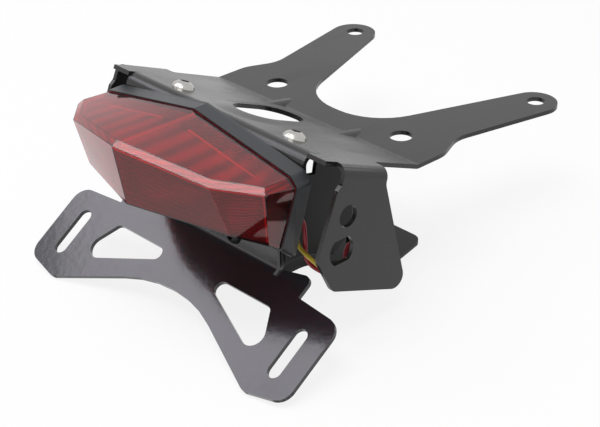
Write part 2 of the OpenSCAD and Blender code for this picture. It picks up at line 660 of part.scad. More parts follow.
reflector_t = 1;
reflector_y = board_y + board_t + 1.6;
module light_reflector() color(bright_metal) light_frame() difference() {
    union() {
        translate([0, -reflector_y - reflector_t / 2, 0]) along_y(reflector_t) board_outline();
        // feet that stand on the board
        for (x = [-board_half_w + 4, board_half_w - 4]) translate([x, -board_y - board_t, board_top - 4])
            rotate([90, 0, 0]) cylinder(h = reflector_y - board_y - board_t, r = 1.5, $fn = 24);
        translate([0, -board_y - board_t, board_bottom + 3]) rotate([90, 0, 0])
            cylinder(h = reflector_y - board_y - board_t, r = 1.5, $fn = 24);
    }
    led_places() rotate([90, 0, 0]) cylinder(h = far / 10, d = led_d + 1.2, $fn = 32);
    pair(stud_spacing) rotate([90, 0, 0])
        cylinder(h = far / 10, d = 2 * boss_r, center = true, $fn = round_fn);
}

// Fasteners

module hexagon(d, h) cylinder(h = h, d = d, $fn = 6);

stud_len = sheet_t + inner_t + washer_t + nut_h + thread_end;
module light_studs() color(zinc) light_frame() pair(stud_spacing) {
    rotate([-90, 0, 0]) translate([0, 0, -wall_t - 1])
        cylinder(h = wall_t + 1 + stud_len, d = stud_d, $fn = round_fn);
    rotate([90, 0, 0]) translate([0, 0, wall_t + 1]) hexagon(stud_d + 3, 1.6);
}

// A ring that lies flat on the face below it
module washer(d) difference() {
    cylinder(h = washer_t, d = d * washer_d, $fn = round_fn);
    translate([0, 0, -over]) cylinder(h = washer_t + 2 * over, d = d + screw_clear, $fn = round_fn);
}

// A locking nut with a round collar on its far side
module nut(d, h) difference() {
    union() {
        hexagon(d * nut_d, h * 0.72);
        cylinder(h = h, d = d * 1.5, $fn = round_fn);
    }
    translate([0, 0, -over]) cylinder(h = h + 2 * over, d = d + 0.1, $fn = round_fn);
}

// A button head screw that points down from the face at z 0
module button_screw(d, length) difference() {
    union() {
        translate([0, 0, -length]) cylinder(h = length, d = d, $fn = round_fn);
        rotate_extrude($fn = round_fn) polygon(concat([[0, 0], [d * head_d / 2, 0]],
            [for (a = [12:13:90]) [d * head_d / 2 * cos(a), d * head_h * (sin(a) - 0.1) / 0.9]]));
    }
    translate([0, 0, d * head_h * 0.35]) hexagon(d * 0.76, d);
}

module stud_washers() color(zinc) light_frame() translate([0, sheet_t + inner_t, 0]) pair(stud_spacing)
    rotate([-90, 0, 0]) washer(stud_d);
module stud_nuts() color(zinc) light_frame() translate([0, sheet_t + inner_t + washer_t, 0])
    pair(stud_spacing) rotate([-90, 0, 0]) nut(stud_d, nut_h);

tray_stack = sheet_t + inner_t;
module tray_place() tray_frame() translate([0, -tray_screw_u, 0]) pair(tray_screw_spacing) children();
module tray_screws() color(steel) tray_place()
    button_screw(tray_screw_d, tray_stack + washer_t + nut_h + thread_end);
module tray_washers() color(zinc) tray_place() translate([0, 0, -tray_stack]) mirror([0, 0, 1])
    washer(tray_screw_d);
module tray_nuts() color(zinc) tray_place() translate([0, 0, -tray_stack - washer_t]) mirror([0, 0, 1])
    nut(tray_screw_d, nut_h);

stem_stack = sheet_t + inner_t;
module stem_place() crease_frame() translate([0, -lip_back, stem_screw_z]) pair(stem_screw_spacing)
    rotate([90, 0, 0]) children();
module stem_screws() color(soft_black) stem_place()
    button_screw(stem_screw_d, stem_stack + washer_t + nut_h + thread_end);
module stem_washers() color(zinc) stem_place() translate([0, 0, -stem_stack]) mirror([0, 0, 1])
    washer(stem_screw_d);
module stem_nuts() color(zinc) stem_place() translate([0, 0, -stem_stack - washer_t]) mirror([0, 0, 1])
    nut(stem_screw_d, nut_h);

// Wiring

gland_d = 3.4 * wire_d;
gland_flange_d = 4.3 * wire_d;
gland_flange_t = 3;
module gland_frame() light_frame() translate([gland_x, 0, gland_z]) rotate([90, 0, 0]) children();
module wire_gland() color(soft_black) gland_frame() difference() {
    union() {
        translate([0, 0, -gland_flange_t]) cylinder(h = gland_flange_t, d = gland_flange_d, $fn = round_fn);
        cylinder(h = wall_t, d = gland_d - 0.1, $fn = round_fn);
        translate([0, 0, wall_t]) cylinder(h = 0.8, d = gland_flange_d, $fn = round_fn);
    }
    pair(wire_gap) cylinder(h = far / 10, d = wire_d + 0.1, center = true, $fn = 24);
}

// Directions square to a route, each turned as little as possible from the one before
function sideways(dirs, i = 0, last = [0, 0, 1]) =
    i == len(dirs) ? [] :
    let (s = unit(last - (last * dirs[i]) * dirs[i]))
    concat([s], sideways(dirs, i + 1, s));

// A tube of eight sides along a list of points
module tube(pts, d) {
    n = len(pts);
    dirs = [for (i = [0:n - 1]) unit(pts[min(i + 1, n - 1)] - pts[max(i - 1, 0)])];
    sides = sideways(dirs);
    polyhedron(
        points = [for (i = [0:n - 1], k = [0:7])
            pts[i] + d / 2 * (cos(45 * k) * sides[i] + sin(45 * k) * cross(sides[i], dirs[i]))],
        faces = concat([[for (k = [7:-1:0]) k], [for (k = [0:7]) (n - 1) * 8 + k]],
                       [for (i = [0:n - 2], k = [0:7])
                           [i * 8 + k, i * 8 + (k + 1) % 8, (i + 1) * 8 + (k + 1) % 8, (i + 1) * 8 + k]]));
}

module wire_yellow() color(wire_yellow_c) crease_frame() tube(yellow_route, wire_d);
module wire_red() color(wire_red_c) crease_frame() tube(red_route, wire_d);

// The connector lies on the shelf; its own y axis points back, to the end that the wires enter
cap_t = 3;
cap_depth = 2.4;
cap_margin = 1.6;
module connector_frame() crease_frame() translate([connector_x, connector_y, shelf_top_z + connector_h / 2])
    rotate([0, 0, 180]) children();
function block_outline(w, h, r) = rounded([
    [w / 2, -h / 2, r], [w / 2, h / 2, r], [-w / 2, h / 2, r], [-w / 2, -h / 2, r]]);

module connector_body() color(black_plastic) connector_frame() difference() {
    union() {
        along_y(connector_l) polygon(block_outline(connector_w, connector_h, 1));
        // latch on top
        translate([-2.5, -connector_l / 2, connector_h / 2 - 0.5]) cube([5, connector_l * 0.7, 1.7]);
    }
    translate([0, (connector_l - cap_depth) / 2 + over / 2, 0]) along_y(cap_depth + over)
        polygon(block_outline(connector_w - 2 * cap_margin, connector_h - 2 * cap_margin, 0.8));
    pair(cavity_gap) rotate([90, 0, 0]) cylinder(h = far, d = pin_barrel_d + 0.1, center = true, $fn = 32);
}

module connector_cap() color(soft_black) connector_frame() difference() {
    translate([0, connector_l / 2 - cap_depth + cap_t / 2, 0]) along_y(cap_t)
        polygon(block_outline(connector_w - 2 * cap_margin - 0.1, connector_h - 2 * cap_margin - 0.1, 0.8));
    pair(cavity_gap) rotate([90, 0, 0]) cylinder(h = far, d = wire_d + 0.1, center = true, $fn = 24);
}

// Each pin has a barrel that holds the end of its wire
pin_barrel_d = wire_d + 1.2;
pin_front = 5;      // end of the barrel, in front of the connector's middle
module connector_pins() color(brass) connector_frame() pair(cavity_gap) rotate([-90, 0, 0])
    rotate_extrude($fn = 32) polygon([
        [0, -6], [0.5, -6], [0.8, -5.4], [0.8, -1.5], [pin_barrel_d / 2, -0.7], [pin_barrel_d / 2, pin_front],
        [wire_d / 2 + 0.05, pin_front], [wire_d / 2 + 0.05, 2.5], [0, 2.5]]);

main_bracket();
light_bracket();
plate_bracket();
light_housing();
light_lens();
light_seal();
light_board();
light_leds();
light_reflector();
light_studs();
stud_washers();
stud_nuts();
tray_screws();
tray_washers();
tray_nuts();
stem_screws();
stem_washers();
stem_nuts();
wire_gland();
wire_yellow();
wire_red();
connector_body();
connector_cap();
connector_pins();
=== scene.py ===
"""Looks of the tail tidy: its finishes, rounded edges, lens optics, wires and studio, round the CAD frame."""

import math

import bmesh
import bpy
from bpy.props import FloatProperty, FloatVectorProperty, IntProperty, PointerProperty
from mathutils import Matrix, Vector


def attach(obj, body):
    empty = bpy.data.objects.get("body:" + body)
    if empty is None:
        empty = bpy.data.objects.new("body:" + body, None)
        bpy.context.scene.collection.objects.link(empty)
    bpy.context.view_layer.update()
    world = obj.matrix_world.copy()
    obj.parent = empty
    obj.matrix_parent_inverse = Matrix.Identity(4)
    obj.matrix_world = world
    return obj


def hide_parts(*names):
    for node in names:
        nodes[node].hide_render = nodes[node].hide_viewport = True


bl_info = {
    "name": "Tail tidy",
    "version": (1, 0, 0),
    "blender": (4, 5, 0),
    "location": "View3D > Sidebar > Tail tidy",
    "description": "Finishes, lens optics, wires and studio for a folded steel tail tidy",
    "category": "Add Mesh",
}

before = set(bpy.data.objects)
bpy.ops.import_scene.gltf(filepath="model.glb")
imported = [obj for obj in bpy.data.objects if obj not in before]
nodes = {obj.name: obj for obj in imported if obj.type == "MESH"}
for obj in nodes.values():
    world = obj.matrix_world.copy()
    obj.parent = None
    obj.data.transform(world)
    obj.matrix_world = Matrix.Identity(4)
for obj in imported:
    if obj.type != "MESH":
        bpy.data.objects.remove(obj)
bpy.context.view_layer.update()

MM = 0.001

# Places in millimetres, in the part's frame
CREASE_BACK = 15.0
LIGHT_BACK = 75.4       # from the origin back to the light's back face
STUD_Z = -5.01
HOUSING_DEPTH = 8.3
LENS_DEPTH = 43.9
SIDE_X = 62.9           # half width of the light
LENS_MID_Z = 8.0
LENS_HALF_H = 24.8
BAND_TOP = 31.9         # height of the lens's top band at its middle, above the studs
BAND_FALL = 0.178       # how far the band falls for each millimetre outwards
BAND_FRONT = 18.6       # front edge of the ribbed band, behind the light's back face

# Sizes in metres
JOIN_DISTANCE = 2e-6    # points nearer than this are one
STRIP_WIDTH = 0.0016    # flat patches narrower than this belong to a bend
HOUSING_EDGE = 0.0003   # rounding of the housing's edges
LENS_WALL = 0.0007
OPTIC_WALL = 0.0008
CAMERA_PLACE = (0.5180, -0.5077, 0.3389)
FLOOR_HALF = 4.0        # half width of the floor
FLOOR_DROP = 0.0002     # how far the floor lies under the points that it touches
LEVEL_TOLERANCE = 0.0001

# Angles in degrees
FLAT_ANGLE = 0.3        # faces that meet at less than this are one flat patch
BEVEL_ANGLE = 35        # edges sharper than this are rounded
LENS_SMOOTH = 19.5      # facets that meet at less than this look like one

# Shares
TONE_SPREAD = 0.15      # how far the colour of a finish varies
INSET_RISE = 1.15       # how much more an inset lens shrinks in height than in width
BACK_FACING = 0.95      # a face whose normal points forward more than this is the lens's back
END_FACING = 0.84       # a face whose normal points sideways more than this is an end of the optic
FLOOR_GLOW = 0.85       # how much of the floor is plain white where it is seen directly
WORLD_GLOW = 0.42       # strength of the world for the light that falls on the part

# Outline of the light bracket's folded sides, back from the crease and up, in millimetres
SIDE_OUTLINE = [(-57.4, -36), (-57.4, 5), (-38.5, 1), (-36.5, 11.4), (-16, 3.2), (-16, -34),
                (-28, -43), (-44, -36)]
SIDE_OUTER_X = 41.0
SIDE_SHEET = 2.0

# Corner points of the lens's right half: across, behind the light's back face, above the studs
LENS_CORNERS = {
    "ridge_top": (0, 49.1, 32.2),
    "nose": (0, 52.2, 30.4),
    "chin": (0, 46.6, 1.7),
    "bend_upper": (42.6, 36.3, 25.2),
    "bend_lower": (44.2, 38.9, 22.8),
    "bend_foot": (46, 30.8, -1.5),
    "end_upper": (58.6, 22.3, 22.3),
    "end_lower": (60.8, 24, 19.9),
    "end_foot": (52.6, 15.2, -9.5),
    "rim_top": (0, 8.3, 31.9),
    "rim_shoulder": (58.5, 8.3, 21.5),
    "rim_side": (62, 8.3, 17.8),
    "rim_foot": (51.7, 8.3, -14.3),
    "rim_bottom": (0, 8.3, -14.7),
}

# The two wires, from the front of the gland to the connector, as given points in millimetres
YELLOW_ROUTE = [
    (44.7, -72.4, -11.5), (44.7, -71.4, -11.6), (44.8, -69.3, -13.2), (45, -68.7, -16.6),
    (45.2, -68.6, -20.6), (46, -68.6, -24.2), (48, -68.6, -26.6), (51, -68.6, -28),
    (55, -68.5, -29.4), (59, -68.2, -30.8), (62.6, -67.2, -32.4), (65.8, -65, -34.4),
    (68, -61.6, -36.6), (69, -57.4, -39), (68.8, -53, -41.4), (67.6, -48.6, -43.8),
    (65.4, -44.6, -46), (62.2, -41.2, -48), (58.4, -38.4, -49.6), (54.2, -36.2, -50.6),
    (50, -34.6, -50.9), (45.6, -33.4, -50.8), (42, -31.6, -50), (39.8, -28.8, -48.4),
    (38.6, -26, -47.2), (38.5, -23.9, -47), (38.5, -18, -47)]
RED_ROUTE = [
    (47.3, -72.4, -11.5), (47.3, -71, -11.5), (47.4, -68.2, -12.4), (47.6, -66.6, -15),
    (47.8, -66.1, -19), (48, -66, -23), (48, -66, -27), (48.2, -66, -30.4), (49.6, -66, -33.1),
    (52.8, -66, -34.4), (56.8, -65.8, -34.8), (60.2, -64.8, -35.8), (63.2, -62.6, -37.4),
    (65.2, -59.4, -39.4), (66.2, -55.6, -41.4), (66, -51.6, -43.4), (64.6, -47.8, -45.4),
    (62.2, -44.6, -47.2), (58.8, -42, -48.8), (54.8, -40, -50), (50.4, -38.4, -50.7),
    (46, -37, -50.9), (41.8, -35.2, -50.8), (38.2, -32.8, -50.1), (35.4, -29.8, -48.8),
    (33.8, -26.4, -47.3), (33.5, -23.9, -47), (33.5, -18, -47)]


class CoatSettings(bpy.types.PropertyGroup):
    """Finish of the folded steel and the moulded plastic."""
    satin_colour: FloatVectorProperty(
        name="Satin coat", description="Colour of the main bracket's powder coat",
        subtype="COLOR", size=3, min=0, max=1, default=(0.016, 0.016, 0.015))
    gloss_colour: FloatVectorProperty(
        name="Gloss coat", description="Colour of the number plate bracket's powder coat",
        subtype="COLOR", size=3, min=0, max=1, default=(0.012, 0.011, 0.015))
    plastic_colour: FloatVectorProperty(
        name="Plastic", description="Colour of the light's housing",
        subtype="COLOR", size=3, min=0, max=1, default=(0.022, 0.024, 0.027))
    edge_radius: FloatProperty(
        name="Edge radius", description="Rounding of the sheet's edges",
        unit="LENGTH", min=0.0001, max=0.0008, default=0.00035)


class LightSettings(bpy.types.PropertyGroup):
    """The red lens and the optics behind it."""
    lens_colour: FloatVectorProperty(
        name="Lens", description="Colour of light that passes the lens's wall",
        subtype="COLOR", size=3, min=0, max=1, default=(0.62, 0.022, 0.035))
    optic_colour: FloatVectorProperty(
        name="Optic", description="Colour of the ribbed optic behind the lens",
        subtype="COLOR", size=3, min=0, max=1, default=(0.5, 0.02, 0.03))
    top_ribs: IntProperty(
        name="Top ribs", description="Ribs of each half of the band along the rim",
        min=10, max=60, default=36)
    front_lines: IntProperty(
        name="Front lines", description="Level ridges in each front facet",
        min=8, max=40, default=26)
    rib_width: FloatProperty(
        name="Rib width", description="Width of a rib of the optic",
        unit="LENGTH", min=0.0002, max=0.001, default=0.0005)


class WireSettings(bpy.types.PropertyGroup):
    """The light's two wires."""
    diameter: FloatProperty(
        name="Diameter", description="Diameter over a wire's insulation",
        unit="LENGTH", min=0.0012, max=0.003, default=0.002)
    first_colour: FloatVectorProperty(
        name="First wire", description="Colour of the first wire",
        subtype="COLOR", size=3, min=0, max=1, default=(0.55, 0.42, 0.03))
    second_colour: FloatVectorProperty(
        name="Second wire", description="Colour of the second wire",
        subtype="COLOR", size=3, min=0, max=1, default=(0.4, 0.015, 0.03))


class StudioSettings(bpy.types.PropertyGroup):
    """Camera, floor and lamps."""
    azimuth: FloatProperty(
        name="Azimuth", description="Turn of the camera round the part, from behind",
        subtype="ANGLE", default=math.radians(46.96))
    elevation: FloatProperty(
        name="Elevation", description="Height of the camera above the horizon",
        subtype="ANGLE", default=math.radians(28.45))
    roll: FloatProperty(
        name="Roll", description="Turn of the camera about its line of sight",
        subtype="ANGLE", default=math.radians(-0.79))
    lens: FloatProperty(
        name="Lens", description="Focal length in millimetres on a 36 mm sensor",
        min=35, max=200, default=105.6)
    floor_colour: FloatVectorProperty(
        name="Floor", description="Colour of the floor",
        subtype="COLOR", size=3, min=0, max=1, default=(0.94, 0.94, 0.945))
    softbox_power: FloatProperty(
        name="Softbox", description="Power of the large lamp above the part",
        unit="POWER", min=0, max=30, default=6.4)


# Small helpers

def place(point):
    """A point of the light, in metres in the part's frame."""
    across, behind, above = point
    return Vector((across, -LIGHT_BACK - behind, STUD_Z + above)) * MM


def lens_point(name, inset, side=1):
    """A corner of the lens, moved in by inset millimetres, on the right or the left."""
    x, d, h = LENS_CORNERS[name]
    return place((
        side * x * (1 - inset / SIDE_X),
        HOUSING_DEPTH + (d - HOUSING_DEPTH) * (1 - inset / LENS_DEPTH),
        LENS_MID_Z + (h - LENS_MID_Z) * (1 - inset * INSET_RISE / LENS_HALF_H)))


def under_band(side, across, behind, inset):
    """A point under the lens's top band, inset millimetres below its outer face."""
    return place((side * across, behind, BAND_TOP - BAND_FALL * across - inset))


def smooth_route(points, steps=3):
    """Points of a smooth curve through the given ones, in metres."""
    p = [Vector(q) * MM for q in points]
    p = [2 * p[0] - p[1]] + p + [2 * p[-1] - p[-2]]
    route = []
    for i in range(1, len(p) - 2):
        for k in range(steps):
            t = k / steps
            a = 2 * p[i]
            b = p[i + 1] - p[i - 1]
            c = 2 * p[i - 1] - 5 * p[i] + 4 * p[i + 1] - p[i + 2]
            d = 3 * p[i] - p[i - 1] - 3 * p[i + 1] + p[i + 2]
            route.append((a + b * t + c * t * t + d * t ** 3) / 2)
    route.append(p[-2])
    return route


def add_object(name, data):
    """A new object at the origin, linked to the scene."""
    obj = bpy.data.objects.new(name, data)
    bpy.context.scene.collection.objects.link(obj)
    return obj


def paint(name, material):
    """Gives a CAD node its material."""
    for slot in nodes[name].material_slots:
        slot.material = material


def open_socket(tree, name, kind, default=None, output=False):
    """Adds a named input or output to a node group."""
    socket = tree.interface.new_socket(
        name=name, in_out="OUTPUT" if output else "INPUT", socket_type=kind)
    if default is not None:
        socket.default_value = default
    return socket


# Shader groups and materials

def surface_grain():
    """Group: a fine grain and a long ripple in the surface, and a soft cloud for its tone."""
    found = bpy.data.node_groups.get("surface_grain")
    if found:
        return found
    tree = bpy.data.node_groups.new("surface_grain", "ShaderNodeTree")
    open_socket(tree, "Grain scale", "NodeSocketFloat", 900.0)
    open_socket(tree, "Ripple scale", "NodeSocketFloat", 120.0)
    open_socket(tree, "Ripple share", "NodeSocketFloat", 0.5)
    open_socket(tree, "Height", "NodeSocketFloat", output=True)
    open_socket(tree, "Cloud", "NodeSocketFloat", output=True)
    entry = tree.nodes.new("NodeGroupInput")
    leave = tree.nodes.new("NodeGroupOutput")
    where = tree.nodes.new("ShaderNodeTexCoord")
    grain = tree.nodes.new("ShaderNodeTexNoise")
    grain.inputs["Detail"].default_value = 3
    ripple = tree.nodes.new("ShaderNodeTexNoise")
    ripple.inputs["Detail"].default_value = 1
    cloud = tree.nodes.new("ShaderNodeTexNoise")
    cloud.inputs["Scale"].default_value = 28
    cloud.inputs["Detail"].default_value = 4
    mix = tree.nodes.new("ShaderNodeMix")
    links = tree.links
    for noise in (grain, ripple, cloud):
        links.new(where.outputs["Object"], noise.inputs["Vector"])
    links.new(entry.outputs["Grain scale"], grain.inputs["Scale"])
    links.new(entry.outputs["Ripple scale"], ripple.inputs["Scale"])
    links.new(entry.outputs["Ripple share"], mix.inputs["Factor"])
    links.new(grain.outputs["Fac"], mix.inputs["A"])
    links.new(ripple.outputs["Fac"], mix.inputs["B"])
    links.new(mix.outputs["Result"], leave.inputs["Height"])
    links.new(cloud.outputs["Fac"], leave.inputs["Cloud"])
    return tree


def handling_marks():
    """Group: faint dust and wiped streaks, as a mask from 0 to 1."""
    found = bpy.data.node_groups.get("handling_marks")
    if found:
        return found
    tree = bpy.data.node_groups.new("handling_marks", "ShaderNodeTree")
    open_socket(tree, "Scale", "NodeSocketFloat", 60.0)
    open_socket(tree, "Amount", "NodeSocketFloat", 0.3)
    open_socket(tree, "Mask", "NodeSocketFloat", output=True)
    entry = tree.nodes.new("NodeGroupInput")
    leave = tree.nodes.new("NodeGroupOutput")
    where = tree.nodes.new("ShaderNodeTexCoord")
    stretch = tree.nodes.new("ShaderNodeMapping")
    stretch.inputs["Scale"].default_value = (1, 0.25, 1)
    noise = tree.nodes.new("ShaderNodeTexNoise")
    noise.inputs["Detail"].default_value = 6
    level = tree.nodes.new("ShaderNodeMapRange")
    level.inputs["From Min"].default_value = 0.52
    level.inputs["From Max"].default_value = 0.78
    strength = tree.nodes.new("ShaderNodeMath")
    strength.operation = "MULTIPLY"
    links = tree.links
    links.new(where.outputs["Object"], stretch.inputs["Vector"])
    links.new(stretch.outputs["Vector"], noise.inputs["Vector"])
    links.new(entry.outputs["Scale"], noise.inputs["Scale"])
    links.new(noise.outputs["Fac"], level.inputs["Value"])
    links.new(level.outputs["Result"], strength.inputs[0])
    links.new(entry.outputs["Amount"], strength.inputs[1])
    links.new(strength.outputs["Value"], leave.inputs["Mask"])
    return tree


def finish(name, colour, roughness, spread=0.05, grain=900.0, ripple=120.0, share=0.5,
           depth=0.00002, marks=0.0, plain=()):
    """A material: colour and roughness vary with a cloud, and the grain bumps the surface."""
    material = bpy.data.materials.new(name)
    material.use_nodes = True
    tree = material.node_tree
    links = tree.links
    shader = tree.nodes["Principled BSDF"]
    texture = tree.nodes.new("ShaderNodeGroup")
    texture.node_tree = surface_grain()
    texture.inputs["Grain scale"].default_value = grain
    texture.inputs["Ripple scale"].default_value = ripple
    texture.inputs["Ripple share"].default_value = share
    tint = tree.nodes.new("ShaderNodeMix")
    tint.data_type = "RGBA"
    tint.inputs["A"].default_value = (*[c * (1 - TONE_SPREAD) for c in colour], 1)
    tint.inputs["B"].default_value = (*[min(1, c * (1 + TONE_SPREAD)) for c in colour], 1)
    links.new(texture.outputs["Cloud"], tint.inputs["Factor"])
    links.new(tint.outputs["Result"], shader.inputs["Base Color"])
    rough = tree.nodes.new("ShaderNodeMapRange")
    rough.inputs["From Min"].default_value = 0.3
    rough.inputs["From Max"].default_value = 0.7
    rough.inputs["To Min"].default_value = max(0, roughness - spread)
    rough.inputs["To Max"].default_value = roughness + spread
    links.new(texture.outputs["Cloud"], rough.inputs["Value"])
    if marks:
        wiped = tree.nodes.new("ShaderNodeGroup")
        wiped.node_tree = handling_marks()
        wiped.inputs["Amount"].default_value = marks
        total = tree.nodes.new("ShaderNodeMath")
        total.operation = "ADD"
        links.new(rough.outputs["Result"], total.inputs[0])
        links.new(wiped.outputs["Mask"], total.inputs[1])
        links.new(total.outputs["Value"], shader.inputs["Roughness"])
    else:
        links.new(rough.outputs["Result"], shader.inputs["Roughness"])
    bump = tree.nodes.new("ShaderNodeBump")
    bump.inputs["Distance"].default_value = depth
    bump.inputs["Strength"].default_value = 1
    links.new(texture.outputs["Height"], bump.inputs["Height"])
    links.new(bump.outputs["Normal"], shader.inputs["Normal"])
    for socket, value in plain:
        shader.inputs[socket].default_value = value
    return material


def level_ridges():
    """Group: close level ridges, broken up by a soft cloud, as a mask from 0 to 1."""
    found = bpy.data.node_groups.get("level_ridges")
    if found:
        return found
    tree = bpy.data.node_groups.new("level_ridges", "ShaderNodeTree")
    open_socket(tree, "Ridge scale", "NodeSocketFloat", 300.0)
    open_socket(tree, "Break up", "NodeSocketFloat", 0.6)
    open_socket(tree, "Mask", "NodeSocketFloat", output=True)
    entry = tree.nodes.new("NodeGroupInput")
    leave = tree.nodes.new("NodeGroupOutput")
    where = tree.nodes.new("ShaderNodeTexCoord")
    wave = tree.nodes.new("ShaderNodeTexWave")
    wave.bands_direction = "Z"
    stretch = tree.nodes.new("ShaderNodeMapping")
    stretch.inputs["Scale"].default_value = (60, 60, 500)
    noise = tree.nodes.new("ShaderNodeTexNoise")
    noise.inputs["Scale"].default_value = 1
    noise.inputs["Detail"].default_value = 4
    mix = tree.nodes.new("ShaderNodeMix")
    links = tree.links
    links.new(where.outputs["Object"], wave.inputs["Vector"])
    links.new(where.outputs["Object"], stretch.inputs["Vector"])
    links.new(stretch.outputs["Vector"], noise.inputs["Vector"])
    links.new(entry.outputs["Ridge scale"], wave.inputs["Scale"])
    links.new(entry.outputs["Break up"], mix.inputs["Factor"])
    links.new(wave.outputs["Fac"], mix.inputs["A"])
    links.new(noise.outputs["Fac"], mix.inputs["B"])
    links.new(mix.outputs["Result"], leave.inputs["Mask"])
    return tree


def ridged(name, dark, bright, scale, roughness):
    """A material whose height follows the level ridges and whose colour goes dark and bright with them, a
    painted shade and highlight of the ridges.
    """
    material = bpy.data.materials.new(name)
    material.use_nodes = True
    tree = material.node_tree
    shader = tree.nodes["Principled BSDF"]
    shader.inputs["Roughness"].default_value = roughness
    ridges = tree.nodes.new("ShaderNodeGroup")
    ridges.node_tree = level_ridges()
    ridges.inputs["Ridge scale"].default_value = scale
    spread = tree.nodes.new("ShaderNodeMapRange")
    spread.inputs["From Min"].default_value = 0.25
    spread.inputs["From Max"].default_value = 0.75
    tint = tree.nodes.new("ShaderNodeMix")
    tint.data_type = "RGBA"
    tint.inputs["A"].default_value = (*dark, 1)
    tint.inputs["B"].default_value = (*bright, 1)
    bump = tree.nodes.new("ShaderNodeBump")
    bump.inputs["Distance"].default_value = 0.0002
    links = tree.links
    links.new(ridges.outputs["Mask"], spread.inputs["Value"])
    links.new(spread.outputs["Result"], tint.inputs["Factor"])
    links.new(tint.outputs["Result"], shader.inputs["Base Color"])
    links.new(ridges.outputs["Mask"], bump.inputs["Height"])
    links.new(bump.outputs["Normal"], shader.inputs["Normal"])
    return material


def seen_directly(tree):
    """Socket that is 1 for rays from the camera, off glossy surfaces and through the lens, and else 0."""
    path = tree.nodes.new("ShaderNodeLightPath")
    seen = tree.nodes.new("ShaderNodeMath")
    seen.operation = "MAXIMUM"
    through = tree.nodes.new("ShaderNodeMath")
    through.operation = "MAXIMUM"
    tree.links.new(path.outputs["Is Camera Ray"], seen.inputs[0])
    tree.links.new(path.outputs["Is Glossy Ray"], seen.inputs[1])
    tree.links.new(seen.outputs["Value"], through.inputs[0])
    tree.links.new(path.outputs["Is Transmission Ray"], through.inputs[1])
    return through.outputs["Value"]


# Shapes

def soften_small_angles(mesh, limit):
    """Smooth faces, with every edge sharper than the limit, in degrees, left sharp."""
    work = bmesh.new()
    work.from_mesh(mesh)
    bmesh.ops.remove_doubles(work, verts=work.verts, dist=JOIN_DISTANCE)
    for face in work.faces:
        face.smooth = True
    for edge in work.edges:
        edge.smooth = len(edge.link_faces) == 2 and edge.calc_face_angle(1) < math.radians(limit)
    work.to_mesh(mesh)
    work.free()


def lens_shell(name, inset):
    """The lens's faces, moved in by inset millimetres and open at the back."""
    work = bmesh.new()
    for corner in LENS_CORNERS:
        for side in ((1, -1) if LENS_CORNERS[corner][0] else (1,)):
            work.verts.new(lens_point(corner, inset, side))
    bmesh.ops.convex_hull(work, input=work.verts)
    bmesh.ops.recalc_face_normals(work, faces=work.faces)
    back = [f for f in work.faces if f.normal.y > BACK_FACING]
    bmesh.ops.delete(work, geom=back, context="FACES")
    mesh = bpy.data.meshes.new(name)
    work.to_mesh(mesh)
    work.free()
    soften_small_angles(mesh, LENS_SMOOTH)
    return mesh


def merged_copy(node):
    """A new mesh of a CAD node with its loose triangles joined, smooth only where it is curved."""
    mesh = nodes[node].data.copy()
    work = bmesh.new()
    work.from_mesh(mesh)
    bmesh.ops.remove_doubles(work, verts=work.verts, dist=JOIN_DISTANCE)
    level = math.radians(FLAT_ANGLE)
    left = set(work.faces)
    while left:
        # one flat patch: strips of a bend or a rounded outline are narrow, and the flats wide
        patch = []
        reached = [left.pop()]
        rim = 0
        while reached:
            face = reached.pop()
            patch.append(face)
            for edge in face.edges:
                beside = [f for f in edge.link_faces
                          if f != face and f.normal.angle(face.normal, 1) < level]
                if not beside:
                    rim += edge.calc_length()
                for other in beside:
                    if other in left:
                        left.remove(other)
                        reached.append(other)
        area = sum(face.calc_area() for face in patch)
        smooth = rim > 0 and 2 * area / rim < STRIP_WIDTH
        for face in patch:
            face.smooth = smooth
    work.to_mesh(mesh)
    work.free()
    mesh.name = node + "_rounded"
    return mesh


def rounded_piece(node, name, material, radius):
    """A copy of a CAD node with small rounded edges, which stands for it."""
    piece = add_object(name, merged_copy(node))
    piece.data.materials.clear()
    piece.data.materials.append(material)
    bevel = piece.modifiers.new("edges", "BEVEL")
    bevel.width = radius
    bevel.segments = 2
    bevel.limit_method = "ANGLE"
    bevel.angle_limit = math.radians(BEVEL_ANGLE)
    level = piece.modifiers.new("normals", "WEIGHTED_NORMAL")
    level.keep_sharp = True
    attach(piece, "root")
    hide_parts(node)
    return piece


def folded_sides(material, radius):
    """The light bracket's sides, folded forward from the edges of its web."""
    work = bmesh.new()
    count = len(SIDE_OUTLINE)
    for side in (1, -1):
        loops = []
        for x in (SIDE_OUTER_X, SIDE_OUTER_X - SIDE_SHEET):
            loops.append([work.verts.new(Vector((side * x, y - CREASE_BACK, z)) * MM)
                          for y, z in SIDE_OUTLINE])
        work.faces.new(loops[0])
        work.faces.new(reversed(loops[1]))
        for i in range(count):
            j = (i + 1) % count
            work.faces.new((loops[0][i], loops[1][i], loops[1][j], loops[0][j]))
    bmesh.ops.recalc_face_normals(work, faces=work.faces)
    mesh = bpy.data.meshes.new("light_bracket_sides")
    work.to_mesh(mesh)
    work.free()
    mesh.materials.append(material)
    sides = add_object("light_bracket_sides", mesh)
    bevel = sides.modifiers.new("edges", "BEVEL")
    bevel.width = radius
    bevel.segments = 2
    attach(sides, "root")


